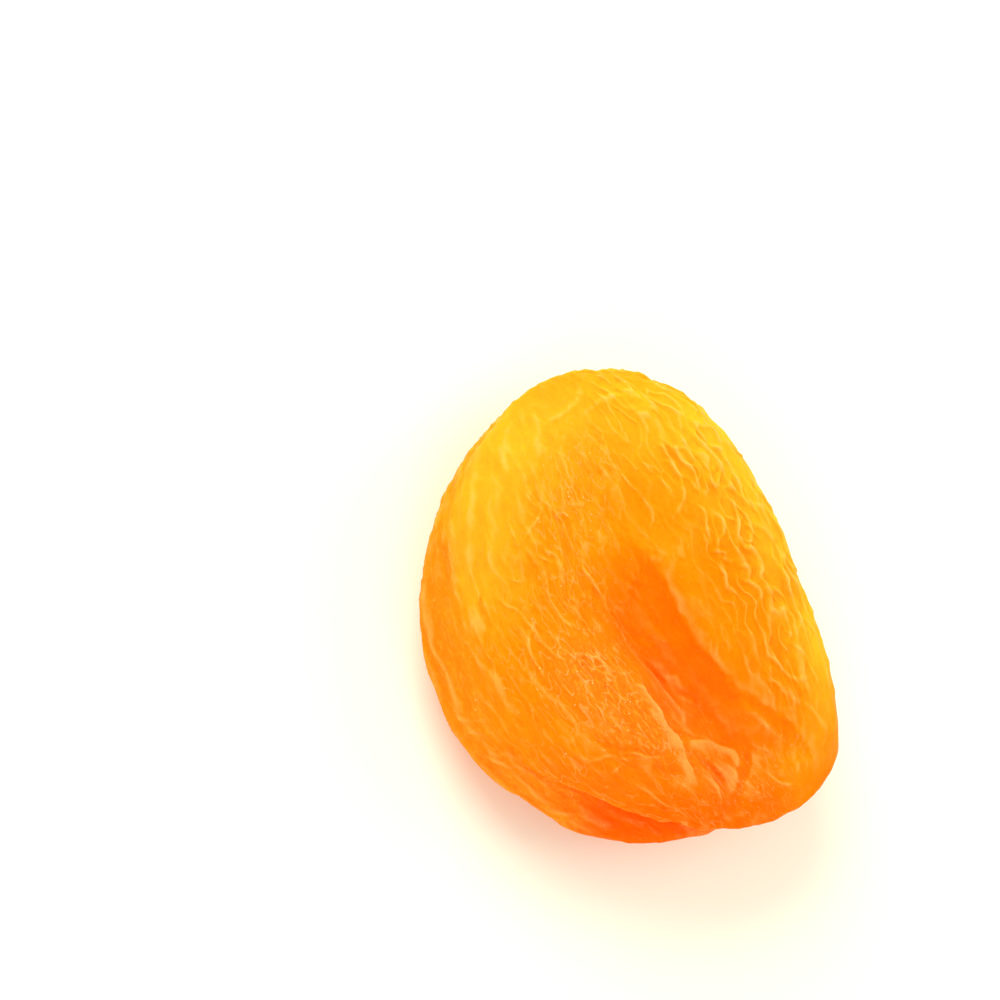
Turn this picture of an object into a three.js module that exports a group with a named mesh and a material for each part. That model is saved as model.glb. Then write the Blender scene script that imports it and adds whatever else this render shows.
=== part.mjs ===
// A whole dried apricot, stoned and pressed flat, lying on its back.
// Millimetres, +Z up. X runs across the fruit, Y runs from the slit where the stone came out (-Y) to the
// far end (+Y). The origin is on the table, under the middle of the fruit.
// The fruit is one piece of flesh: an upper and a lower lobe that meet in a seam round the rim, with a
// hollow pressed into the upper face where the stone used to be.
import * as THREE from "three";
import { ImprovedNoise } from "three/addons/math/ImprovedNoise.js";
import { mergeVertices } from "three/addons/utils/BufferGeometryUtils.js";

// Driving dimensions
const WIDTH = 39.1;
const LENGTH = 44;
const THICKNESS = 14;

// Heights, from the table up
const SEAM_HEIGHT = 0.57 * THICKNESS;
const UPPER_HEIGHT = 0.44 * THICKNESS;
const LOWER_HEIGHT = 0.595 * THICKNESS;

// Outlines of the two lobes, as radii at even angles from +X towards +Y
const UPPER_RADII = [
  17.2, 16.2, 17.0, 19.6, 21.5, 21.8, 20.6, 18.8, 16.4, 16.5, 18.3, 19.8, 20.7, 23.3, 24.7, 21.3,
];
const LOWER_RADII = [
  16.6, 15.5, 16.1, 18.6, 21.1, 21.4, 20.6, 19.9, 19.5, 19.9, 21.0, 21.3, 22.5, 22.0, 21.7, 20.2,
];

// Plumpness of each lobe's section: 2 is an ellipse, higher is squarer at the rim
const UPPER_SQUARENESS = 2.2;
const LOWER_SQUARENESS = 2.4;

// The rim isn't level: it climbs towards one side, and ripples a little on its way round
const RIM_TILT = 0.6;
const RIM_HIGH_ANGLE = THREE.MathUtils.degToRad(195);
const RIM_RIPPLE = 0.3;

// The lower lobe's round shoulder, from the seam down to its rim: the angle it starts at, its height as a
// share of how far it stands out past the upper lobe, and how much of the section it takes
const SHOULDER_START = THREE.MathUtils.degToRad(35);
const SHOULDER_RISE = 0.9;
const SHOULDER_SPAN = 0.28;

// The seam between the lobes: deepest on the -X side and faint on the other. At the -Y end it opens into
// the slit
const SEAM_DEPTH = 0.6;
const SEAM_FAINTEST = 0.25;
const SEAM_SPREAD = 0.13;
const SEAM_ANGLE = THREE.MathUtils.degToRad(205);
const SEAM_HALF_ANGLE = THREE.MathUtils.degToRad(105);
const SLIT_ANGLE = THREE.MathUtils.degToRad(-82);
const SLIT_HALF_ANGLE = THREE.MathUtils.degToRad(30);
const SLIT_DEPTH = 4.6;
const SLIT_SPREAD = 0.12;

// Folds in the skin. Each path point is [x, y, height]; left and right are the widths of the fold's two
// sides, seen along its path. A negative height is a hollow.
const UPPER_FOLDS = [
  { name: "dish", path: [[-2.5, 5, -0.7], [1.5, -2, -1.3], [6, -6.5, -1.1]], left: 6, right: 8.5 },
  {
    name: "trough_head",
    path: [[-2, 4.6, -0.4], [-0.7, 1.4, -1.5], [0.9, -2.6, -2.5], [3.4, -6.6, -2.5], [6.2, -9.8, -1.7]],
    left: 1.3,
    right: 6,
  },
  {
    name: "trough_tail",
    path: [[6.2, -9.8, -1], [9, -12, -2], [13, -13.8, -1.5], [15.6, -14.4, -0.6]],
    left: 1.4,
    right: 3,
  },
  {
    name: "right_bank",
    path: [[0.4, 3.4, 0.2], [2.6, -0.4, 0.6], [4.3, -4, 0.8], [7.6, -7.8, 0.8], [12, -10.9, 0.6]],
    left: 3.6,
    right: 1.3,
  },
  {
    name: "left_bank",
    path: [[-9, -6, 0.2], [-5, -6.5, 0.5], [-2, -8.5, 0.8], [0, -11.5, 1], [2, -14, 0.9], [4, -16, 0.5]],
    left: 2,
    right: 3.8,
  },
  { name: "basin", path: [[3.2, -15.6, -0.4], [8.7, -16.2, -0.5]], left: 1.8, right: 1.8 },
  { name: "pleat_1", path: [[4.5, -14.3, 0.4], [5.5, -16, 0.7], [7, -18, 0.3]], left: 1.3, right: 1.2 },
  { name: "pleat_2", path: [[8.7, -13.7, -0.6], [9, -15.3, -1.3], [8.5, -19, -1]], left: 1.3, right: 1.2 },
  { name: "pleat_3", path: [[10.8, -13, 0.5], [11, -15.4, 1], [11, -18, 0.7]], left: 1.2, right: 1.3 },
  { name: "pleat_4", path: [[13.6, -12, 0.3], [14.4, -14.5, 0.8], [14, -17, 0.6]], left: 1.3, right: 1.3 },
  {
    name: "shoulder_crease",
    path: [[-6, 18, -0.2], [-6.5, 16, -0.35], [-8.5, 15, -0.35], [-10, 13.5, -0.3], [-10.5, 10.5, -0.2]],
    left: 1.3,
    right: 1.3,
  },
  {
    name: "shoulder_ridge",
    path: [[-6.2, 17.3, 0.3], [-1.2, 17.8, 0.6], [2.2, 16.9, 0.6], [5.3, 16.5, 0.3]],
    left: 1.2,
    right: 1.6,
  },
  {
    name: "left_crown",
    path: [[-13.5, 12, 0.3], [-16, 5.5, 0.6], [-15.5, -1, 0.7], [-13, -8, 0.6], [-9, -14, 0.4]],
    left: 2,
    right: 2.5,
  },
];
const LOWER_FOLDS = [
  { name: "under_crease_1", path: [[-14, 8, -0.5], [-9, 11, -0.8], [-4, 15, -0.5]], left: 1.6, right: 1.6 },
  { name: "under_crease_2", path: [[13, 4, -0.5], [11, -4, -0.8], [14, -11, -0.5]], left: 1.6, right: 1.6 },
  {
    name: "under_crease_3",
    path: [[-15, -6, -0.5], [-10, -11, -0.8], [-3, -15, -0.6]],
    left: 1.6,
    right: 1.6,
  },
];

// The wrinkles run like meridians between the fruit's two ends
const FAR_END = new THREE.Vector2(-4, 27);
const NEAR_END = new THREE.Vector2(17, -24);
const WRINKLE_PITCH = new THREE.Vector3(3.2, 11, 3.4);
const WRINKLE_HEIGHT = 0.32;
const WRINKLE_SHARPNESS = 0.28;
const WRINKLE_SWAY = 1.1;

// Mesh fineness, how far the grid is drawn from the faces towards the rim, and how it is evened out
const GRID_DETAIL = 21;
const GRID_DRAW = 0.1;
const RELAX_ROUNDS = 3;
const RELAX_SHARE = 0.5;

const noise = new ImprovedNoise();

// A smooth closed outline through equally spaced radii, read at any angle.
function radiusAt(radii, angle) {
  const count = radii.length;
  const place = (((angle / (2 * Math.PI)) % 1) + 1) % 1 * count;
  const first = Math.floor(place);
  const t = place - first;
  const [a, b, c, d] = [-1, 0, 1, 2].map((step) => radii[(first + step + count) % count]);
  return b + 0.5 * t * (c - a + t * (2 * a - 5 * b + 4 * c - d + t * (3 * (b - c) + d - a)));
}

// A point of a unit superellipse's quarter, in the direction of an angle.
function superellipse(angle, squareness) {
  const across = Math.abs(Math.sin(angle));
  const up = Math.abs(Math.cos(angle));
  const scale = (across ** squareness + up ** squareness) ** (-1 / squareness);
  return { across: scale * across, up: scale * up };
}

// A stretch of the rim: 1 in its middle, falling to 0 at a half angle on either side.
function stretchOfRim(angle, middle, halfAngle) {
  const turn = Math.atan2(Math.sin(angle - middle), Math.cos(angle - middle));
  return Math.exp(-((turn / halfAngle) ** 4));
}

// How far out and down the lower lobe's shoulder has turned, a share of the way from the seam to the rim.
function shoulderAt(share) {
  const turn = THREE.MathUtils.lerp(SHOULDER_START, Math.PI / 2, THREE.MathUtils.clamp(share, 0, 1));
  const out = (Math.sin(turn) - Math.sin(SHOULDER_START)) / (1 - Math.sin(SHOULDER_START));
  const down = 1 - Math.cos(turn) / Math.cos(SHOULDER_START);
  return { out, down };
}

// The plump body without its folds: where the skin lies in the direction of a unit vector.
function bodyPoint(direction) {
  const angle = Math.atan2(direction.y, direction.x);
  const fall = Math.acos(THREE.MathUtils.clamp(direction.z, -1, 1));
  const section = fall - GRID_DRAW * Math.sin(2 * fall);
  const isUpper = section < Math.PI / 2;
  const profile = superellipse(section, isUpper ? UPPER_SQUARENESS : LOWER_SQUARENESS);
  const rise = Math.cos(section);
  const upperRadius = radiusAt(UPPER_RADII, angle);
  const lowerRadius = radiusAt(LOWER_RADII, angle);
  const shoulder = shoulderAt(-rise / SHOULDER_SPAN);
  const radius = upperRadius + (lowerRadius - upperRadius) * shoulder.out;
  const drop = SHOULDER_RISE * Math.max(lowerRadius - upperRadius, 0);
  const seam = THREE.MathUtils.lerp(SEAM_FAINTEST, 1, stretchOfRim(angle, SEAM_ANGLE, SEAM_HALF_ANGLE));
  const slit = stretchOfRim(angle, SLIT_ANGLE, SLIT_HALF_ANGLE);
  const seamNotch = SEAM_DEPTH * seam * Math.exp(-((rise / SEAM_SPREAD) ** 2));
  const slitNotch = SLIT_DEPTH * slit * Math.exp(-((rise / SLIT_SPREAD) ** 2));
  const across = radius * profile.across - seamNotch - slitNotch;
  const height = isUpper ? UPPER_HEIGHT * profile.up : (drop - LOWER_HEIGHT) * profile.up;
  const warp = RIM_TILT * Math.cos(angle - RIM_HIGH_ANGLE) + RIM_RIPPLE * Math.sin(3 * angle);
  const up = SEAM_HEIGHT + height + warp * profile.across ** 2 - drop * shoulder.down;
  return new THREE.Vector3(across * Math.cos(angle), across * Math.sin(angle), up);
}

// A fold's path as short straight steps, each with its height.
function layPath(fold) {
  const steps = 8 * (fold.path.length - 1);
  const curve = new THREE.CatmullRomCurve3(fold.path.map((point) => new THREE.Vector3(...point)));
  return { ...fold, steps: curve.getPoints(steps) };
}

// How far a fold lifts the skin at a place in plan.
function foldHeight(fold, x, y) {
  let nearest = Infinity;
  let lift = 0;
  for (let i = 1; i < fold.steps.length; i++) {
    const from = fold.steps[i - 1];
    const to = fold.steps[i];
    const along = new THREE.Vector2(to.x - from.x, to.y - from.y);
    const offset = new THREE.Vector2(x - from.x, y - from.y);
    const t = THREE.MathUtils.clamp(offset.dot(along) / along.lengthSq(), 0, 1);
    const distance = Math.hypot(offset.x - t * along.x, offset.y - t * along.y);
    if (distance >= nearest) continue;
    nearest = distance;
    const width = along.cross(offset) > 0 ? fold.left : fold.right;
    lift = THREE.MathUtils.lerp(from.z, to.z, t) * Math.exp(-((distance / width) ** 2));
  }
  return lift;
}

// The flow of the wrinkles at a place in plan: x across them, y along them, both in millimetres.
function wrinkleFlow(x, y) {
  const toFar = new THREE.Vector2(FAR_END.x - x, FAR_END.y - y);
  const toNear = new THREE.Vector2(NEAR_END.x - x, NEAR_END.y - y);
  const halfSpan = FAR_END.distanceTo(NEAR_END) / 2;
  const angle = Math.atan2(toFar.cross(toNear), toFar.dot(toNear));
  const along = halfSpan * Math.tanh(0.5 * Math.log(toFar.length() / toNear.length()));
  const across = halfSpan / Math.tan(angle / 2);
  return { across, along };
}

// Height of the raised wrinkle cords, from 0 in the cells between them to 1 on a cord.
function wrinkle(point) {
  const { across, along } = wrinkleFlow(point.x, point.y);
  const sway = WRINKLE_SWAY * noise.noise(across / 5, along / 5, point.z / 5);
  const value = noise.noise(
    across / WRINKLE_PITCH.x + sway,
    along / WRINKLE_PITCH.y,
    point.z / WRINKLE_PITCH.z + 7,
  );
  return Math.exp(-((value / WRINKLE_SHARPNESS) ** 2));
}

// Evens out the grid after it has been folded: each round draws every point towards its neighbours' middle.
function relax(geometry) {
  const position = geometry.getAttribute("position");
  const index = geometry.getIndex();
  for (let round = 0; round < RELAX_ROUNDS; round++) {
    const sums = Array.from({ length: position.count }, () => new THREE.Vector3());
    const counts = new Array(position.count).fill(0);
    for (let i = 0; i < index.count; i++) {
      const corner = index.getX(i);
      const next = index.getX(i % 3 === 2 ? i - 2 : i + 1);
      sums[corner].add(new THREE.Vector3().fromBufferAttribute(position, next));
      counts[corner] += 1;
    }
    sums.forEach((sum, i) => {
      const point = new THREE.Vector3().fromBufferAttribute(position, i);
      point.lerp(sum.divideScalar(counts[i]), RELAX_SHARE);
      position.setXYZ(i, point.x, point.y, point.z);
    });
  }
}

const upperFolds = UPPER_FOLDS.map(layPath);
const lowerFolds = LOWER_FOLDS.map(layPath);

// The whole skin as one closed mesh: an even grid drawn over the body, folded, wrinkled and set down.
function fleshGeometry() {
  const grid = new THREE.IcosahedronGeometry(1, GRID_DETAIL);
  grid.deleteAttribute("normal");
  grid.deleteAttribute("uv");
  const geometry = mergeVertices(grid, 1e-5);
  const position = geometry.getAttribute("position");
  const direction = new THREE.Vector3();
  for (let i = 0; i < position.count; i++) {
    direction.fromBufferAttribute(position, i).normalize();
    const point = bodyPoint(direction);
    const isUpper = direction.z > 0;
    const facing = THREE.MathUtils.smoothstep(Math.abs(direction.z), 0.05, 0.4);
    const folds = isUpper ? upperFolds : lowerFolds;
    const lift = folds.reduce((sum, fold) => sum + foldHeight(fold, point.x, point.y), 0);
    point.z += facing * (isUpper ? lift : -lift);
    position.setXYZ(i, point.x, point.y, point.z);
  }

  relax(geometry);
  geometry.computeVertexNormals();
  const normal = geometry.getAttribute("normal");
  for (let i = 0; i < position.count; i++) {
    const point = new THREE.Vector3().fromBufferAttribute(position, i);
    const out = new THREE.Vector3().fromBufferAttribute(normal, i);
    point.addScaledVector(out, WRINKLE_HEIGHT * (wrinkle(point) - 0.5));
    position.setXYZ(i, point.x, point.y, Math.max(point.z, 0));
  }

  // Set to the driving size, with the middle of the fruit over the origin
  geometry.computeBoundingBox();
  const size = geometry.boundingBox.getSize(new THREE.Vector3());
  const middle = geometry.boundingBox.getCenter(new THREE.Vector3());
  geometry.translate(-middle.x, -middle.y, -geometry.boundingBox.min.z);
  geometry.scale(WIDTH / size.x, LENGTH / size.y, THICKNESS / size.z);
  geometry.computeVertexNormals();
  return geometry;
}

const flesh = new THREE.MeshStandardMaterial({
  name: "apricot_flesh",
  color: new THREE.Color("#ff9a1c"),
  roughness: 0.5,
  metalness: 0,
});

const apricot = new THREE.Mesh(fleshGeometry(), flesh);
apricot.name = "apricot";

const part = new THREE.Group();
part.name = "dried_apricot";
part.add(apricot);

export default part;
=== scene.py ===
"""The looks of a whole dried apricot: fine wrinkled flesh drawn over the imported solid, in metres.

X runs across the fruit, Y from the slit to the far end and Z up from the table. The wrinkles are worked
out in millimetres, because the fruit's own sizes are, and become metres when the mesh is made.
"""
import math

import bpy
import numpy as np
from mathutils import Matrix, Vector, noise


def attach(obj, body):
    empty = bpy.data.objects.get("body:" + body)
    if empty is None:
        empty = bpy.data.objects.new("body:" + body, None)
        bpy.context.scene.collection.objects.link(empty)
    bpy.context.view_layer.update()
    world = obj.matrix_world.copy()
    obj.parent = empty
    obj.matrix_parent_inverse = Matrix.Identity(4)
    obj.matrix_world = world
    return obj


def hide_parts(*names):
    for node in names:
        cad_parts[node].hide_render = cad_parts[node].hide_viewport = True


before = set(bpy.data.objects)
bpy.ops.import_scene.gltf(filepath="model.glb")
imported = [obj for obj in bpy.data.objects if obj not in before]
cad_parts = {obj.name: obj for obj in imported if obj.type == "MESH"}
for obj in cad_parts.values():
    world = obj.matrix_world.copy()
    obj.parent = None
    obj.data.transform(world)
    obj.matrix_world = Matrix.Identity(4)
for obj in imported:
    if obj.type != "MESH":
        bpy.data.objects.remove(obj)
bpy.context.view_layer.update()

MM = 0.001

# The photograph's view, looking down on the fruit as it lies: the lens, the tilts away from straight down,
# the scale, and the pixel that the fruit's middle falls on
IMAGE_SIZE = 1000
LENS_MM = 100
SENSOR_MM = 36
TILT_X = math.radians(20)
TILT_Y = math.radians(12)
PIXELS_PER_MM = 10.73
MIDDLE_PIXEL = (627.5, 606.5)
MIDDLE = Vector((0, 0, 6.2)) * MM


def make_camera():
    back = Vector((-math.tan(TILT_X), -math.tan(TILT_Y), 1)).normalized()
    distance = IMAGE_SIZE / PIXELS_PER_MM * LENS_MM / SENSOR_MM * MM
    right = Vector((0, 1, 0)).cross(back).normalized()
    up = back.cross(right)
    pixel = MM / PIXELS_PER_MM
    off_right = (MIDDLE_PIXEL[0] - IMAGE_SIZE / 2) * pixel
    off_up = (IMAGE_SIZE / 2 - MIDDLE_PIXEL[1]) * pixel
    place = MIDDLE + back * distance
    backward = (place - (MIDDLE - right * off_right - up * off_up)).normalized()
    rightward = Vector((0, 1, 0)).cross(backward).normalized()
    upward = backward.cross(rightward)

    data = bpy.data.cameras.new("photo_view")
    data.lens = LENS_MM
    data.sensor_width = SENSOR_MM
    data.clip_start = 0.01
    camera = bpy.data.objects.new("photo_view", data)
    bpy.context.scene.collection.objects.link(camera)
    turn = Matrix((rightward, upward, backward)).transposed()
    camera.matrix_world = Matrix.Translation(place) @ turn.to_4x4()
    bpy.context.scene.camera = camera


# Light: each softbox is its place and size in metres, and its power in watts
SOFTBOXES = {
    "key": ((-0.12, 0.26, 0.22), 0.24, 1.25),
    "side": ((0.30, 0.06, 0.18), 0.24, 0.45),
    "front": ((-0.12, -0.28, 0.15), 0.26, 0.6),
}
SKY_STRENGTH = 0.75


def make_light():
    for name, (place, size, power) in SOFTBOXES.items():
        data = bpy.data.lights.new(name, "AREA")
        data.size = size
        data.energy = power
        light = bpy.data.objects.new(name, data)
        bpy.context.scene.collection.objects.link(light)
        light.location = place
        light.rotation_euler = (MIDDLE - light.location).to_track_quat("-Z", "Y").to_euler()

    world = bpy.data.worlds.new("studio")
    world.use_nodes = True
    sky = world.node_tree.nodes["Background"]
    sky.inputs["Color"].default_value = (1, 1, 1, 1)
    sky.inputs["Strength"].default_value = SKY_STRENGTH
    bpy.context.scene.world = world
    bpy.context.scene.view_settings.view_transform = "Standard"


# The floor, a wide pale sheet
FLOOR_SIZE = 3.0


def make_floor():
    half = FLOOR_SIZE / 2
    corners = [(-half, -half, 0), (half, -half, 0), (half, half, 0), (-half, half, 0)]
    mesh = bpy.data.meshes.new("floor")
    mesh.from_pydata(corners, [], [(0, 1, 2, 3)])
    floor = bpy.data.objects.new("floor", mesh)
    bpy.context.scene.collection.objects.link(floor)
    material = bpy.data.materials.new("floor")
    material.use_nodes = True
    shader = material.node_tree.nodes["Principled BSDF"]
    shader.inputs["Base Color"].default_value = (0.9, 0.86, 0.68, 1)
    shader.inputs["Roughness"].default_value = 0.4
    mesh.materials.append(material)


def read_solid(node):
    """The node's points in millimetres and its triangles, with shared points merged."""
    mesh = node.data
    points = np.empty(len(mesh.vertices) * 3)
    mesh.vertices.foreach_get("co", points)
    points = points.reshape(-1, 3) / MM
    mesh.calc_loop_triangles()
    faces = np.empty(len(mesh.loop_triangles) * 3, dtype=int)
    mesh.loop_triangles.foreach_get("vertices", faces)
    _, first, group = np.unique(np.round(points, 4), axis=0, return_index=True, return_inverse=True)
    return points[first], group.ravel()[faces].reshape(-1, 3)


def add_up(values, places, count):
    """The sum of the values that belong to each place."""
    return np.stack([np.bincount(places, column, count) for column in values.T], axis=1)


def split(points, faces, wanted):
    """Splits the wanted triangles of a closed mesh into four by Loop's rule, and their neighbours to fit."""
    sides = np.sort(faces[:, [[0, 1], [1, 2], [2, 0]]].reshape(-1, 2), axis=1)
    edges, edge_of = np.unique(sides, axis=0, return_inverse=True)
    edge_of = edge_of.reshape(-1, 3)
    is_cut = np.zeros(len(edges), bool)
    is_cut[edge_of[wanted].ravel()] = True

    opposite = add_up(points[faces[:, [2, 0, 1]].ravel()], edge_of.ravel(), len(edges))
    middles = 0.375 * points[edges].sum(axis=1) + 0.125 * opposite
    middle_of = len(points) + np.cumsum(is_cut) - 1

    ends = np.concatenate([edges[:, 0], edges[:, 1]])
    others = np.concatenate([edges[:, 1], edges[:, 0]])
    valence = np.bincount(ends, minlength=len(points))
    cut_round = np.bincount(ends, np.tile(is_cut, 2), len(points))
    share = ((0.625 - (0.375 + 0.25 * np.cos(2 * np.pi / valence)) ** 2) / valence)[:, None]
    smoothed = (1 - valence[:, None] * share) * points + share * add_up(points[others], ends, len(points))
    kept = np.where((cut_round == valence)[:, None], smoothed, points)

    cuts = is_cut[edge_of]
    total = cuts.sum(axis=1)
    a, b, c = faces[total == 3].T
    ab, bc, ca = middle_of[edge_of[total == 3]].T
    pieces = [faces[total == 0]]
    pieces += [np.stack(corners, axis=1) for corners in ((a, ab, ca), (ab, b, bc), (ca, bc, c), (ab, bc, ca))]
    for turn in range(3):
        corners, sides, turned = (np.roll(table, -turn, axis=1) for table in (faces, edge_of, cuts))
        one = (total == 1) & turned[:, 0]
        a, b, c = corners[one].T
        ab = middle_of[sides[one, 0]]
        pieces += [np.stack((a, ab, c), axis=1), np.stack((ab, b, c), axis=1)]
        two = (total == 2) & turned[:, 0] & turned[:, 1]
        a, b, c = corners[two].T
        ab, bc = middle_of[sides[two, :2]].T
        pieces += [np.stack(corner, axis=1) for corner in ((ab, b, bc), (a, ab, bc), (a, bc, c))]
    return np.vstack([kept, middles[is_cut]]), np.vstack(pieces)


def normals_of(points, faces):
    corners = points[faces]
    face_normals = np.cross(corners[:, 1] - corners[:, 0], corners[:, 2] - corners[:, 0])
    normals = add_up(np.repeat(face_normals, 3, axis=0), faces.ravel(), len(points))
    return normals / np.linalg.norm(normals, axis=1, keepdims=True)


def evened(values, faces, rounds):
    """The values with each point's replaced, round after round, by the mean of its neighbours'."""
    sides = np.vstack([faces[:, [0, 1]], faces[:, [1, 2]], faces[:, [2, 0]]])
    valence = np.bincount(sides[:, 0], minlength=len(values))[:, None]
    for _ in range(rounds):
        values = add_up(values[sides[:, 1]], sides[:, 0], len(values)) / valence
    return values


# Fields over the skin, each one number for each point
def noise_field(places):
    return np.array([noise.noise(place) for place in places.tolist()])


def cords(places, width):
    """1 on the winding lines where a random field is nothing, falling to 0 beside them."""
    return np.exp(-((noise_field(places) / width) ** 2))


def smooth_step(values, low, high):
    t = np.clip((values - low) / (high - low), 0, 1)
    return t * t * (3 - 2 * t)


def beside(points, path, left, right):
    """How near each point lies to a path in plan, 1 on it and falling off over a width on either side."""
    plan = points[:, :2]
    nearest = np.full(len(points), np.inf)
    result = np.zeros(len(points))
    share = np.zeros(len(points))
    for i, (start, end) in enumerate(zip(path[:-1], path[1:])):
        along = end[:2] - start[:2]
        offset = plan - start[:2]
        t = np.clip(offset @ along / (along @ along), 0, 1)
        distance = np.linalg.norm(offset - t[:, None] * along, axis=1)
        side = along[0] * offset[:, 1] - along[1] * offset[:, 0]
        closer = distance < nearest
        nearest = np.where(closer, distance, nearest)
        result = np.where(closer, np.exp(-((distance / np.where(side > 0, left, right)) ** 2)), result)
        share = np.where(closer, i + t, share)
    return result, share


def curve_through(path):
    """A smooth curve through the path's points, as short straight steps."""
    path = np.asarray(path, float)
    ends = np.vstack([2 * path[0] - path[1], path, 2 * path[-1] - path[-2]])
    steps = np.linspace(0, 1, CURVE_STEPS, endpoint=False)[:, None]
    spans = []
    for a, b, c, d in zip(ends[:-3], ends[1:-2], ends[2:-1], ends[3:]):
        spans.append(b + 0.5 * steps * (c - a + steps * (2 * a - 5 * b + 4 * c - d + steps * (3 * (b - c) + d - a))))
    return np.vstack(spans + [path[-1:]])


CURVE_STEPS = 4

# The wrinkles run like meridians between the fruit's two ends, in millimetres in plan
FAR_END = np.array([-14, 30])
NEAR_END = np.array([17, -24])


def wrinkle_flow(points):
    """How far across and along the wrinkles each point lies, its height, and how much room they have there."""
    to_far = FAR_END - points[:, :2]
    to_near = NEAR_END - points[:, :2]
    far = np.linalg.norm(to_far, axis=1)
    near = np.linalg.norm(to_near, axis=1)
    half_span = np.linalg.norm(FAR_END - NEAR_END) / 2
    room = np.minimum(far * near / half_span ** 2, 1)
    cross = to_far[:, 0] * to_near[:, 1] - to_far[:, 1] * to_near[:, 0]
    angle = np.arctan2(cross, (to_far * to_near).sum(axis=1))
    along = half_span * np.tanh(0.5 * np.log(far / near))
    across = half_span / np.tan(angle / 2)
    return np.stack([across, along, points[:, 2]], axis=1), room


# Where on the upper lobe each kind of skin lies, and where shade or a highlight is painted on: a path in plan, with
# its width on the left and the right
ZONES = {
    "crown": ([(-11, 16), (-14.5, 9), (-16.2, 3), (-16.5, 0)], 3.5, 3),
    "flank": ([(-2, 18), (6, 14), (10, 6), (12.5, -2), (15.5, -7)], 6, 4),
    "lace": ([(-7, 11), (-9, 3), (-8, -4), (-6, -8)], 4, 4),
    "facet": ([(-7, -7.5), (-3.5, -10.5), (0, -13)], 2.6, 3),
    "hollow": ([(-0.5, 2.4), (0.7, 0.6), (2, -2), (4.2, -5), (6.4, -7.4)], 0.4, 3.8),
    "hollow_side": ([(-3.4, -2), (-1.6, -4.6), (1, -7.4)], 2, 2.6),
    "trough_floor": ([(3, -9.8), (5.5, -12.5), (7.5, -16)], 1.8, 2.8),
    "pleats": ([(3, -16), (9, -16), (15, -14)], 2.6, 2.4),
    "front": ([(-9, -17), (-2, -19.5), (6, -20), (12, -18)], 1.8, 3),
    "tip": ([(17, -3), (17.8, -9), (14.8, -17)], 2.6, 2.6),
    "low_left": ([(-13, -5), (-12, -10), (-8, -15)], 3, 3),
    # Painted shade along the left rim
    "left_rim_shade": ([(-18.5, 4), (-19.3, -1), (-18.5, -8)], 1.5, 2),
    "far_rim": ([(-12, 17), (-6, 21), (2, 21.5), (7, 19.5)], 1.8, 1.8),
    # Painted sheen along the right rim
    "right_rim_sheen": ([(7, 17), (11, 14), (15, 7), (18, -1)], 2.5, 4),
}

# The kinds that go on down the side of the fruit, past the seam
ZONES_PAST_SEAM = ("flank", "tip", "left_rim_shade", "far_rim", "right_rim_sheen")

# How yellow the flesh is, from 0 for deep orange to 1, and what each zone adds to it; some of these steps are painted
# shade or a painted highlight, not the flesh's own colour
TONE = 0.45
ZONE_TONES = {
    "crown": 0.24,
    "flank": 0.16,
    "lace": -0.05,
    # Painted shade: the hollow, its side and the trough floor are made deeper orange where the trough lies in shade
    "facet": -0.27,
    "hollow": -0.17,
    "hollow_side": -0.25,
    "trough_floor": -0.21,
    "pleats": 0,
    # Painted shade: the front, facing down and away from the key light, is made deeper orange
    "front": -0.12,
    "tip": 0.3,
    "low_left": 0.04,
    # Painted shade: the left rim is made deeper orange, as shade cast by neighbouring fruit
    "left_rim_shade": -0.18,
    "far_rim": -0.14,
    # Painted highlight: the right rim is made yellower as a sheen of light along it
    "right_rim_sheen": 0.42,
}
# Painted shade: the lower lobe's band below the seam, facing down, is made deeper orange, and so is the tongue under
# the overhanging lip
BAND_SHADE = -0.08
MOUTH_SHADE = -0.4

# The seam between the lobes lies lower on the right, by this share of x
SEAM_SLOPE = 0.035

# Where the lobes have grown together on the left, and how widely the seam is evened out there
GROWN_PATH = [(-9, 19), (-16, 11), (-18, 4), (-17.5, -4), (-15, -11), (-10, -16), (-6, -18.5)]
GROWN_ROUNDS = 14

# The lip that hangs over the slit
LIP_PATH = [(-8, -19), (-2, -20.5), (5, -21), (12, -19.5)]

# The tongue of the lower lobe that shows under it, made deeper orange as painted shade
MOUTH_PATH = [(-2, -21), (3, -21), (7.5, -20.5)]

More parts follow.
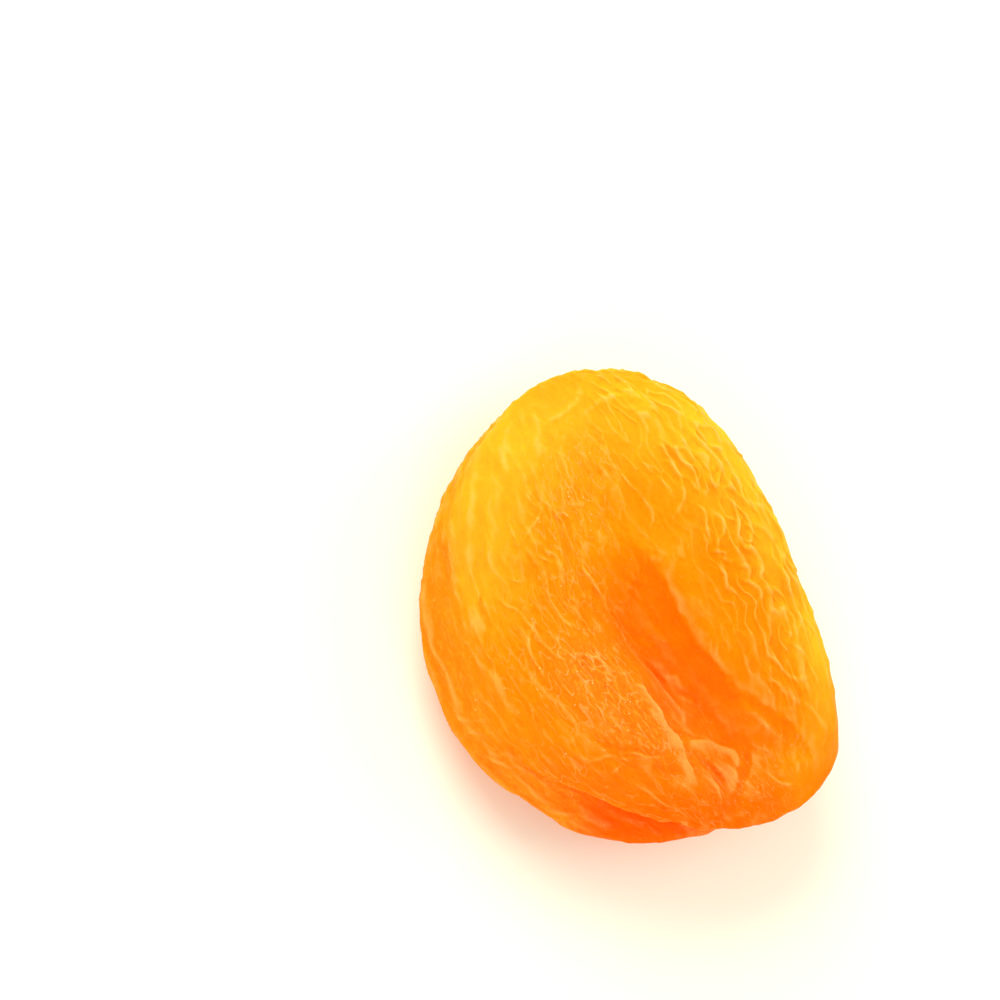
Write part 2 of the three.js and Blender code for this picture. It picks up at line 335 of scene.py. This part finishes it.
# Folds that the eye follows: each path point is x, y and height, with the widths of the fold's two sides
FOLDS = {
    "wall_foot": ([(-1.6, 4.2, -0.05), (-0.3, 2.4, -0.15), (0.9, 0.6, -0.2), (2.2, -2, -0.2), (4.4, -5.3, -0.2),
                   (7.4, -8.3, -0.22), (10, -10.1, -0.25), (12.2, -11.1, -0.25), (13.8, -12.2, -0.25),
                   (15.6, -13.8, -0.15)], 0.35, 0.8),
    "facet_edge": ([(-3.8, -7.6, 0.1), (-1.6, -8.9, 0.25), (-0.3, -10.4, 0.3), (0.9, -12.1, 0.35), (1.9, -13.5, 0.35),
                    (2.8, -14.7, 0.3), (3.6, -16.1, 0.2)], 0.25, 1.3),
    "facet_foot": ([(-1.1, -8.6, -0.1), (0.4, -10.3, -0.3), (1.7, -12.2, -0.35), (2.7, -13.7, -0.3)], 0.8, 0.3),
    "leaf": ([(2.8, -13.6, 0.1), (5, -13.4, 0.2), (8, -13.6, 0.25), (8.9, -14.2, 0.25), (9, -15.2, 0.15)], 0.2, 1),
    "leaf_groove": ([(3.5, -14.3, -0.1), (5.2, -15.1, -0.25), (6.6, -16.2, -0.3), (7.2, -17.8, -0.15)], 0.3, 0.45),
    "s_groove": ([(9.6, -12.9, -0.05), (9.9, -14.2, -0.2), (9.7, -15.5, -0.28), (9.1, -17.1, -0.28), (8.4, -18.6, -0.1)],
                 0.35, 0.4),
    "cross_groove": ([(-5.8, -13.9, -0.08), (-2.7, -14.7, -0.16), (-0.1, -14.9, -0.16), (2.3, -14.5, -0.1)],
                     0.35, 0.35),
    "floor_crease_1": ([(-0.2, -6.4, -0.1), (1.6, -8, -0.25), (2.8, -9.8, -0.15)], 0.3, 0.3),
    "dimple": ([(0.4, -16.2, -0.35), (1.4, -16.4, -0.35)], 0.9, 0.8),
    "left_furrow_1": ([(-15.8, 8, -0.1), (-16.1, 5.2, -0.2), (-15.8, 1.6, -0.15)], 0.4, 0.5),
    "left_furrow_2": ([(-13.7, 10, -0.1), (-14.1, 6.5, -0.2), (-13, 3, -0.1)], 0.4, 0.4),
}

# Thin ridges by kind, each with its height and half width, and its ridges as x and y points
RIDGES = {
    "cords": (0.26, 0.22, [
        [(-1.1, 16.3), (0.3, 14.1), (1.5, 12.6), (2.4, 11.1), (2.6, 9.9), (2.6, 8.2), (1.9, 7.1)],
        [(0.1, 16.6), (1.1, 15.2), (1.9, 13.5), (3, 12.5), (3.8, 11.5), (4.3, 10.4), (5.7, 8.9)],
        [(1.7, 17.9), (2.7, 17.1), (3, 15.6), (3, 14), (3.7, 13), (4.7, 11.2)],
        [(4.4, 17.5), (4.4, 16.3), (4.6, 14.5), (5.7, 13.5), (6.7, 12.1), (7.3, 11.1), (8.5, 10.2), (9.4, 9)],
        [(5.7, 16.3), (6.6, 16), (7, 15.2), (7.5, 13.9), (7.8, 12.8), (8.5, 11.7), (9, 10.3)],
        [(8.4, 16), (9.6, 14.7), (10.2, 12.8), (10.3, 11.2), (10.5, 9.6), (10.6, 8.3)],
        [(6.7, 10.3), (6.6, 8.6), (6.9, 7.5), (8, 7.1), (8.1, 5.8), (7.9, 3.8)],
        [(3.5, 8.2), (4.4, 7.9), (4.9, 7.1), (5.1, 5.9), (5.2, 4.6)],
        [(5.6, 7.6), (6.4, 6.8), (6.6, 5.8), (5.9, 4.9)],
        [(9.3, 8.1), (9.7, 6.4), (9.5, 4.7), (10.4, 3.5), (10.3, 2.2), (9.2, 0.6)],
        [(5, 4), (6.5, 3.9), (6.6, 3.2)],
        [(8.1, 2.6), (9.4, 2.7), (9, 1.6), (10.2, 0.7), (10.4, -0.1), (9.6, -0.8)],
        [(6.1, 3.1), (6.6, 1.9), (6.8, 0.8), (7.7, 0.1), (7.6, -0.9)],
        [(10.9, 7), (12.1, 5.5), (12, 4.1), (12.9, 2.8), (13.6, 1.2), (14, -0.2), (14.9, -1.4)],
        [(10.7, 1), (12.2, -0.1), (13.2, -1.2)],
        [(12.7, 5.1), (13.6, 3.3), (14.5, 1.5), (15.5, 0.2)],
        [(11.4, -0.1), (12.8, -1), (13.4, -3), (13, -4.6)],
        [(10.6, -3.6), (11.2, -5.5), (13.7, -7.3), (16, -6.7)],
        [(14.9, -1.1), (16.7, -2.8), (17.3, -4.8), (17.8, -6.7), (17.9, -8.6)],
        [(12.7, -3.6), (14.6, -4.6), (15.9, -6.1), (16.9, -7.9)],
    ]),
    "veins": (0.17, 0.16, [
        [(-12.9, 9.4), (-12, 7.9), (-11.2, 6.8), (-10.8, 5.7)],
        [(-10.2, 8.6), (-10.3, 6.8), (-9.7, 5), (-8.9, 3.3)],
        [(-8.9, 9.4), (-8.7, 7.4), (-7.7, 6.1)],
        [(-6.8, 8.4), (-5.9, 7.1), (-4.7, 6.4), (-4, 5.1), (-3.5, 3.8)],
        [(-4.5, 11.5), (-3.6, 10.9), (-2.4, 9.6), (-1.1, 8.4), (-0.4, 7.6), (-0.4, 6.6), (-0.9, 5.7)],
        [(-1.5, 12), (0.2, 11.4), (1, 10), (1.7, 8.7)],
        [(-13.9, 8.6), (-14.1, 6.7), (-13.6, 4.9), (-12.9, 3.3)],
        [(-12.2, 9.1), (-11.5, 7.9), (-11, 6.4), (-12, 4.5), (-12.3, 3.5), (-11, 1.5), (-10.7, -0.5)],
        [(-10.1, 5.9), (-9.4, 4.3), (-9.1, 3.1), (-9, 1.6)],
        [(-9, 9.2), (-8.8, 7.4), (-8.5, 5.8)],
        [(-8, 5.6), (-7.8, 4.4), (-6.8, 3.6)],
        [(-6.4, 8.6), (-5.7, 7.2), (-4.7, 5.9)],
        [(-11.9, 2.8), (-10.7, 2.4), (-9.1, 1.8)],
        [(-14, 0.5), (-13.1, 0.1), (-12.3, 0.3)],
        [(-14.8, -0.7), (-14, -1.9), (-13.1, -2.3), (-12.1, -3.5), (-11.1, -4.9), (-9.7, -6.4), (-9.1, -7.2)],
        [(-12.3, -0.7), (-11.3, -1.9), (-10.6, -3.4)],
        [(-10.1, -1.2), (-9.5, -2.6), (-8.9, -3.4), (-7.8, -3.7), (-6.3, -4.2)],
        [(-7.4, 2.6), (-6.7, 1.4), (-5.5, 0.2), (-4.3, -1.1)],
        [(-12.1, -3.7), (-11.9, -5.5), (-11.5, -6.9), (-10.7, -8), (-9.8, -9.2), (-9, -9.7)],
        [(-9.1, -6), (-7.9, -6.3), (-5.8, -6.4), (-4.6, -7.6), (-2.3, -8.2)],
        [(-4.6, -14.7), (-2.2, -15), (0.1, -15.1), (2.3, -14.4)],
        [(-7.3, -14.8), (-5.9, -15.6), (-4, -15.2), (-1.8, -15.7)],
        [(-4.4, -16.6), (-3.6, -16.3), (-2.7, -15.7)],
        [(-2.4, -17.3), (-0.3, -18.2), (1.6, -19.2), (4.2, -19.4)],
        [(3.9, -15.9), (5.5, -16.9), (6.5, -18.2), (7, -19.5)],
        [(-16.8, -11.2), (-16.3, -11.3), (-15.3, -11.6), (-14.1, -11.5)],
        [(-16.3, -12.3), (-15.4, -12.7), (-13.9, -12.9)],
        [(-14.3, -14.1), (-13.5, -15), (-12.1, -15.6), (-10.5, -15.9)],
        [(-13.9, -14.4), (-12.9, -14.5), (-11.9, -15.1), (-11, -16)],
    ]),
    "arcs": (0.18, 0.3, [
        [(-7.3, 15.1), (-5.9, 16.6), (-4, 17.9), (-1.8, 18.5), (-0.2, 18.2), (0.5, 16.4), (1.3, 14.1), (2.4, 12.1)],
        [(-10.5, 14.4), (-9.3, 15.6), (-7.7, 16.9), (-6.6, 18.2), (-6.1, 19.7)],
        [(-4, 20.4), (0.2, 20.4), (4, 18.8), (6.8, 16.4), (9.4, 12.6)],
        [(9.2, -7.1), (11.4, -7.7), (13.9, -9.2), (16.5, -10.6), (17.6, -12)],
    ]),
    "tip_veins": (0.17, 0.19, [
        [(2.7, -12.4), (4.2, -12.6), (5.4, -13), (7.1, -13.1)],
        [(2.7, -14.5), (4.2, -15.5), (5.3, -16.2), (6.3, -17.5), (7.3, -18.2)],
        [(2.7, -14.1), (3.5, -15.4), (3.6, -16.2)],
        [(10, -12.6), (10.6, -13.4), (11.4, -13.7), (12.5, -14)],
        [(10.3, -13.9), (10.1, -15.5), (9.5, -16.9), (8.9, -18.2)],
        [(11.7, -14.4), (11.6, -15.9), (12.2, -16.7), (13.6, -16.8), (15.6, -16.7)],
        [(14.4, -12.9), (14.7, -14.4), (14.2, -15.7), (14.7, -16.7)],
        [(1.7, -7.3), (2.8, -7.5), (3.4, -8.3), (4.7, -9)],
        [(2.7, -9.1), (4, -9.5), (5.1, -10.4)],
        [(1.3, -8.8), (2.2, -9.4), (3.3, -11), (3.1, -12)],
        [(8.9, -9.8), (10, -10.8), (11.4, -11.9), (12.4, -12.5)],
    ]),
    "creases": (-0.14, 0.22, [
        [(-3.3, 1.6), (-1.7, 0.9), (-0.2, 0.5)],
        [(-2.6, -0.1), (-1.6, 0), (0.2, -1.3), (0.8, -2.6), (2, -4.1), (2.8, -4.4)],
        [(0.1, -6.4), (1.2, -7.5), (2.2, -8.3)],
        [(-17.8, 5.2), (-18.1, 3.5), (-18.1, 1.5), (-17.9, -1.1), (-17.6, -3.5)],
        [(-16.3, 3.8), (-16.3, 1), (-15.8, -1.7), (-15.2, -4.1), (-14.5, -6.2)],
    ]),
    "pleats": (0.22, 0.4, [
        [(-17.3, 7), (-17.6, 5.2), (-17.3, 3.4), (-16.9, 1), (-16.4, -1.4), (-16, -3.8), (-15.4, -6.2), (-14.4, -8.5),
         (-13.1, -11.1)],
        [(-15.3, 4.3), (-15.5, 2.4), (-15, 0.9)],
        [(-13.3, 14.5), (-13.9, 12.7), (-14.1, 11), (-13.8, 9.4), (-13.9, 7.6), (-13.8, 5.1)],
        [(-15.3, 13.7), (-15.9, 11.5), (-16.5, 9.1), (-16.8, 6.8), (-17.1, 4.3)],
        [(-10.8, 15.8), (-10.8, 13.6), (-10.8, 11.9), (-11.7, 10.2), (-12.9, 8.9)],
    ]),
}

# The skin sways a little off every drawn line: how far, and over what length
SWAY = 0.3
SWAY_PITCH = 1.6

# Places where the whole form is fuller or flatter: the place, how far it reaches, and the height
SWELLINGS = {
    "tip_corner": ((19, -12.5, 7.5), 3.5, 0.65),
    "far_right": ((9, 16.5, 8.5), 2.5, -0.2),
    "far_left": ((-14, 14, 7), 3, -0.15),
    "far_middle": ((-8.5, 19, 6.5), 2.5, 0.35),
    "left": ((-19, 4, 7), 3, 0.12),
    "right": ((19.5, 3, 7), 2.5, 0.2),
    "near_left": ((-10, -18, 4.5), 2.5, -0.1),
    "front_right": ((4, -21, 7), 2.5, 0.15),
    "trough_end": ((10, -12.8, 7), 2.2, 0.35),
    "lower_front": ((-5, -21, 4.5), 3, 0.5),
    "lower_front_right": ((7, -19.8, 5), 2.9, 0.75),
    "knob_1": ((4.2, -20.9, 8.4), 0.5, 0.35),
    "knob_2": ((6.4, -20.6, 8.4), 0.5, 0.35),
    "knob_3": ((10.8, -20.2, 8.4), 0.6, 0.3),
}

# Relief in millimetres
CORD_HEIGHT = 0.26
FINE_CORD_HEIGHT = 0.2
LACE_HEIGHT = 0.15
SWELL_HEIGHT = 0.16
PLEAT_HEIGHT = 0.36
FINE_PLEAT_HEIGHT = 0.14
GRAIN_HEIGHT = 0.08
LIP_HEIGHT = 0.18


def swelling_lift(points):
    lift = np.zeros(len(points))
    for place, reach, height in SWELLINGS.values():
        lift += height * np.exp(-(((points - place) / reach) ** 2).sum(axis=1))
    return lift


def fold_lift(points):
    lift = np.zeros(len(points))
    for path, left, right in FOLDS.values():
        curve = curve_through(path)
        reach = 3 * max(left, right)
        low = curve[:, :2].min(axis=0) - reach
        high = curve[:, :2].max(axis=0) + reach
        close = np.flatnonzero(((points[:, :2] > low) & (points[:, :2] < high)).all(axis=1))
        near, share = beside(points[close], curve, left, right)
        lift[close] += near * np.interp(share, np.arange(len(curve)), curve[:, 2])
    return lift


def ridge_lift(points):
    lift = np.zeros(len(points))
    for height, half_width, paths in RIDGES.values():
        for path in paths:
            curve = curve_through(path)
            low = curve.min(axis=0) - 3 * half_width
            high = curve.max(axis=0) + 3 * half_width
            close = np.flatnonzero(((points[:, :2] > low) & (points[:, :2] < high)).all(axis=1))
            near, share = beside(points[close], curve, half_width, half_width)
            ends = np.minimum(share, len(curve) - 1 - share) / (1.5 * CURVE_STEPS)
            raised = height * near * np.clip(0.2 + ends, 0, 1)
            lift[close] = np.where(abs(raised) > abs(lift[close]), raised, lift[close])
    return lift


def wrinkle_skin(points):
    """How far the skin is raised at each point, and what the finish needs to know about it."""
    flow, room = wrinkle_flow(points)
    height = points[:, 2]
    upper = smooth_step(height + SEAM_SLOPE * points[:, 0], 7.3, 8.5)
    past_seam = smooth_step(height, 2.5, 6.5)
    band = (1 - upper) * smooth_step(height, 0.5, 2.5)
    zone = {}
    for name, (path, left, right) in ZONES.items():
        reach = past_seam if name in ZONES_PAST_SEAM else upper
        zone[name] = beside(points, np.asarray(path, float), left, right)[0] * reach

    drift = np.stack([noise_field(flow / 2.6 + shift) for shift in (11, 37, 71)], axis=1)
    curl = np.stack([noise_field(flow / 1.1 + shift) for shift in (5, 59)], axis=1)
    warped = flow + 0.9 * drift
    warped[:, :2] += 0.25 * curl
    main = cords(warped / (1.3, 4.2, 2.2), 0.15)
    second = cords(warped / (1.1, 3, 1.6) + 23, 0.15)
    lace = cords(warped / (0.85, 3.2, 1.4) + 5, 0.13)
    swell = noise_field(warped / (1.2, 3, 2) + 83)
    pleats = noise_field((flow + 0.5 * drift) / (1.0, 14, 1.1) + 41)
    fine_pleats = cords((flow + 0.7 * drift) / (0.9, 8, 1) + 67, 0.2)
    grain = noise_field(points / 0.3) + 0.6 * noise_field(points / 0.17 + 9)

    smooth = np.clip(zone["hollow"] + zone["crown"] + zone["front"] + zone["facet"], 0, 1)
    cord_strength = (0.3 + 0.7 * zone["flank"] + 0.15 * zone["lace"]) * (1 - 0.85 * smooth) * (1 - 0.4 * band)
    cord_strength *= room * (1 - 0.6 * zone["tip"])
    patchy = smooth_step(noise_field(points / 3.5 + 7), -0.25, 0.3)
    lace_strength = (0.15 + 0.5 * zone["lace"] + 0.25 * zone["facet"]) * (0.3 + 0.7 * patchy) * room
    lace_strength *= 1 - 0.5 * np.clip(zone["crown"] + zone["front"] + band, 0, 1)
    mouth = beside(points, np.asarray(MOUTH_PATH, float), 2.5, 3)[0] * smooth_step(height, 0.3, 2) * (height < 8.2)
    pleat_strength = (0.12 + 0.5 * zone["crown"] + 0.6 * band + 0.35 * zone["low_left"]) * room * (1 - 0.7 * mouth)
    grain_strength = 0.12 + zone["facet"] + 0.3 * zone["lace"] + 0.3 * zone["low_left"]
    lip = beside(points, np.asarray(LIP_PATH, float), 1.4, 1.4)[0] * smooth_step(height, 6.5, 8) * (height < 11)

    swayed = points + SWAY * np.stack([noise_field(points / SWAY_PITCH + shift) for shift in (3, 19, 53)], axis=1)
    grown = beside(points, np.asarray(GROWN_PATH, float), 4, 4)[0] * smooth_step(height, 2.5, 5)
    drawn = np.maximum(upper, grown)
    folds = (fold_lift(swayed) + ridge_lift(swayed) * (0.6 + 0.4 * patchy)) * drawn
    lift = (CORD_HEIGHT * main + FINE_CORD_HEIGHT * second * patchy) * cord_strength
    lift += LACE_HEIGHT * lace_strength * lace + PLEAT_HEIGHT * pleat_strength * pleats
    lift += FINE_PLEAT_HEIGHT * pleat_strength * fine_pleats
    lift += SWELL_HEIGHT * (zone["flank"] + zone["pleats"]) * swell
    lift += GRAIN_HEIGHT * grain_strength * grain + folds + swelling_lift(points)
    lift += LIP_HEIGHT * lip * noise_field(points / (0.9, 0.9, 1.6) + 31)

    # Yellower toward the far left end, where the key light stands: partly the flesh's own tone, partly painted light
    # on the lit side
    tone_and_light = TONE + 0.27 * (-0.35 * points[:, 0] + 0.94 * points[:, 1]) / 22
    for name, step in ZONE_TONES.items():
        tone_and_light = tone_and_light + step * zone[name]
    # Painted shade on the lower band and under the lip
    tone_and_light += BAND_SHADE * band + MOUTH_SHADE * mouth
    # Pale dry skin, and on the right rim a painted sheen
    dry_and_sheen = 0.03 + 0.2 * zone["crown"] + 0.5 * zone["facet"] + 0.15 * zone["lace"] + 0.25 * band
    dry_and_sheen += 0.1 * zone["pleats"] + 0.08 * zone["flank"] + 0.35 * zone["right_rim_sheen"] + 0.12 * grown
    veined = 0.03 + 0.3 * zone["lace"] + 0.3 * zone["facet"] + 0.05 * band + 0.15 * zone["low_left"]
    veined += 0.2 * zone["front"] + 0.2 * zone["pleats"]
    # Where tiny pale specks are painted on as glints
    glint_share = 0.15 + 0.6 * zone["lace"] + 0.5 * zone["facet"] + 0.6 * band + 0.6 * zone["low_left"]
    # The hollow and the mouth get none of the pale colour, which keeps their painted shade deep
    return lift, {"tone_and_light": tone_and_light, "dry_and_sheen": dry_and_sheen * (1 - zone["hollow"]) * (1 - mouth) + 0.15 * zone["trough_floor"], "veined": veined, "glint_share": glint_share}, flow


# How fine the grid is: the triangles that the whole skin has at most, and the height above which they are small
MOST_TRIANGLES = 190000
FINE_ABOVE = 4.0

# How the finish tells ridges from grooves, for the painted sheen on ridges and painted shade in grooves: how widely
# the form is evened out, and the height of a full ridge
EVENING_ROUNDS = 30
RELIEF_SCALE = 0.2


def make_flesh():
    points, faces = read_solid(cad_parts["apricot"])
    everywhere = np.ones(len(faces), bool)
    # The points go out beforehand by what the smoothing takes off the form
    points = 2 * points - split(points, faces, everywhere)[0][:len(points)]
    points, faces = split(points, faces, everywhere)
    grown = beside(points, np.asarray(GROWN_PATH, float), 3, 3)[0] * smooth_step(points[:, 2], 4, 6)
    points += grown[:, None] * (evened(points, faces, GROWN_ROUNDS) - points)
    points, faces = split(points, faces, points[faces][:, :, 2].mean(axis=1) > FINE_ABOVE)
    lift, _, _ = wrinkle_skin(points)
    spread = np.ptp(lift[faces], axis=1)
    budget = (MOST_TRIANGLES - len(faces)) // 4
    points, faces = split(points, faces, np.argsort(-spread, kind="stable")[:budget])
    lift, fields, flow = wrinkle_skin(points)
    points = points + normals_of(points, faces) * lift[:, None]
    points[:, 2] = np.maximum(points[:, 2], 0)
    level = evened(lift[:, None], faces, EVENING_ROUNDS)[:, 0]
    fields["relief"] = np.tanh((lift - level) / RELIEF_SCALE)

    mesh = bpy.data.meshes.new("dried_apricot")
    mesh.from_pydata(points * MM, [], faces)
    for name, values in fields.items():
        mesh.attributes.new(name, "FLOAT", "POINT").data.foreach_set("value", values.astype(np.float32))
    flow_layer = mesh.attributes.new("flow", "FLOAT_VECTOR", "POINT")
    flow_layer.data.foreach_set("vector", flow.astype(np.float32).ravel())
    mesh.polygons.foreach_set("use_smooth", [True] * len(faces))
    mesh.update()
    flesh = bpy.data.objects.new("dried_apricot", mesh)
    bpy.context.scene.collection.objects.link(flesh)
    mesh.materials.append(flesh_material())
    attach(flesh, "root")
    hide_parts("apricot")


# The flesh's colours, from deep orange to yellow, the paler one of its dry skin, also laid on the right rim as a
# painted sheen, the painted sheen of its ridges and veins, the painted glints, and its dark specks
FLESH_COLOURS = ((0.0, (1.0, 0.105, 0.0)), (0.45, (1.0, 0.21, 0.0002)), (1.0, (1.0, 0.41, 0.01)))
DRY_AND_SHEEN_COLOUR = (1.0, 0.33, 0.018)
RIDGE_SHEEN_COLOUR = (1.0, 0.43, 0.11)
GLINT_COLOUR = (1.0, 0.65, 0.25)
DARK_SPECK_COLOUR = (0.35, 0.06, 0.005)


def flesh_material():
    material = bpy.data.materials.new("apricot_flesh")
    material.use_nodes = True
    tree = material.node_tree
    shader = tree.nodes["Principled BSDF"]
    shader.inputs["Roughness"].default_value = 0.42
    shader.inputs["Specular IOR Level"].default_value = 0.01
    shader.inputs["Sheen Weight"].default_value = 0.01
    shader.inputs["Sheen Roughness"].default_value = 0.4
    shader.inputs["Sheen Tint"].default_value = (1, 0.8, 0.45, 1)
    shader.inputs["Subsurface Weight"].default_value = 0.5
    shader.inputs["Subsurface Radius"].default_value = (1.0, 0.35, 0.1)
    shader.inputs["Subsurface Scale"].default_value = 0.9 * MM

    def wire(value, socket):
        if isinstance(value, bpy.types.NodeSocket):
            tree.links.new(value, socket)
        elif isinstance(value, tuple):
            socket.default_value = (*value, 1)
        else:
            socket.default_value = value

    def attribute(name, output="Fac"):
        node = tree.nodes.new("ShaderNodeAttribute")
        node.attribute_name = name
        return node.outputs[output]

    def maths(operation, *values, clamp=False):
        node = tree.nodes.new("ShaderNodeMath")
        node.operation = operation
        node.use_clamp = clamp
        for value, socket in zip(values, node.inputs):
            wire(value, socket)
        return node.outputs[0]

    def step(value, low, high, result_low=0.0, result_high=1.0):
        node = tree.nodes.new("ShaderNodeMapRange")
        node.interpolation_type = "SMOOTHSTEP"
        for entry, socket in zip((value, low, high, result_low, result_high), node.inputs):
            wire(entry, socket)
        return node.outputs[0]

    def mix(factor, first, second):
        node = tree.nodes.new("ShaderNodeMix")
        node.data_type = "RGBA"
        wire(factor, node.inputs["Factor"])
        wire(first, node.inputs[6])
        wire(second, node.inputs[7])
        return node.outputs[2]

    def stretched(vector, pitch_mm):
        node = tree.nodes.new("ShaderNodeMapping")
        tree.links.new(vector, node.inputs["Vector"])
        node.inputs["Scale"].default_value = [1 / pitch for pitch in pitch_mm]
        return node.outputs["Vector"]

    def blotches(vector, detail=2.0, distortion=0.0):
        node = tree.nodes.new("ShaderNodeTexNoise")
        tree.links.new(vector, node.inputs["Vector"])
        node.inputs["Scale"].default_value = 1
        node.inputs["Detail"].default_value = detail
        node.inputs["Distortion"].default_value = distortion
        return node.outputs["Fac"]

    def veins(vector, width):
        away = maths("ABSOLUTE", maths("SUBTRACT", blotches(vector, 1, 0.6), 0.5))
        return step(away, 0.0, width, 1.0, 0.0)

    def specks(vector, size, share):
        node = tree.nodes.new("ShaderNodeTexVoronoi")
        tree.links.new(vector, node.inputs["Vector"])
        node.inputs["Scale"].default_value = 1
        chosen = tree.nodes.new("ShaderNodeSeparateColor")
        tree.links.new(node.outputs["Color"], chosen.inputs["Color"])
        dot = step(node.outputs["Distance"], size * 0.5, size, 1.0, 0.0)
        return maths("MULTIPLY", dot, maths("LESS_THAN", chosen.outputs["Red"], share))

    place = stretched(tree.nodes.new("ShaderNodeTexCoord").outputs["Object"], (MM, MM, MM))
    flow = attribute("flow", "Vector")
    relief = attribute("relief")
    veined_share = attribute("veined")

    large = maths("MULTIPLY_ADD", blotches(stretched(place, (3, 3, 3)), 2), 0.26, -0.13)
    small = maths("MULTIPLY_ADD", blotches(stretched(place, (0.45, 0.45, 0.45)), 3), 0.2, -0.1)
    # Ridges yellower and grooves deeper orange: painted highlight on the ridges, painted shade in the grooves
    tone_and_light = maths("ADD", maths("ADD", attribute("tone_and_light"), large), maths("MULTIPLY_ADD", relief, 0.12, small), clamp=True)
    ramp = tree.nodes.new("ShaderNodeValToRGB")
    tree.links.new(tone_and_light, ramp.inputs["Fac"])
    ramp.color_ramp.elements.remove(ramp.color_ramp.elements[1])
    for i, (position, colour) in enumerate(FLESH_COLOURS):
        element = ramp.color_ramp.elements[0] if i == 0 else ramp.color_ramp.elements.new(position)
        element.position = position
        element.color = (*colour, 1)

    flakes = step(blotches(stretched(flow, (0.24, 0.6, 0.3)), 3, 0.4), 0.48, 0.66)
    dry_and_sheen = mix(maths("MULTIPLY", attribute("dry_and_sheen"), maths("MULTIPLY_ADD", flakes, 0.6, 0.4)), ramp.outputs["Color"],
              DRY_AND_SHEEN_COLOUR)
    fine_veins = veins(stretched(flow, (0.8, 2.2, 1.0)), 0.03)
    # Fine veins paled toward the painted sheen colour
    veined = mix(maths("MULTIPLY", fine_veins, veined_share), dry_and_sheen, RIDGE_SHEEN_COLOUR)
    # Painted sheen: the ridges are paled toward the sheen colour
    ridge_sheened = mix(step(relief, 0.0, 1.0, 0.0, 0.52), veined, RIDGE_SHEEN_COLOUR)
    # Painted glints: tiny pale specks
    painted_glints = specks(stretched(place, (0.7, 0.7, 0.7)), 0.11, 0.3)
    glinted = mix(maths("MULTIPLY", painted_glints, attribute("glint_share")), ridge_sheened, GLINT_COLOUR)
    dark_specks = specks(stretched(place, (5, 5, 5)), 0.025, 0.2)
    tree.links.new(mix(maths("MULTIPLY", dark_specks, 0.6), glinted, DARK_SPECK_COLOUR), shader.inputs["Base Color"])

    bump = tree.nodes.new("ShaderNodeBump")
    bump.inputs["Strength"].default_value = 0.4
    bump.inputs["Distance"].default_value = 0.1 * MM
    pits = blotches(stretched(place, (0.22, 0.22, 0.22)), 3)
    tree.links.new(maths("MULTIPLY_ADD", fine_veins, veined_share, pits), bump.inputs["Height"])
    tree.links.new(bump.outputs["Normal"], shader.inputs["Normal"])
    return material


make_camera()
make_light()
make_floor()
make_flesh()
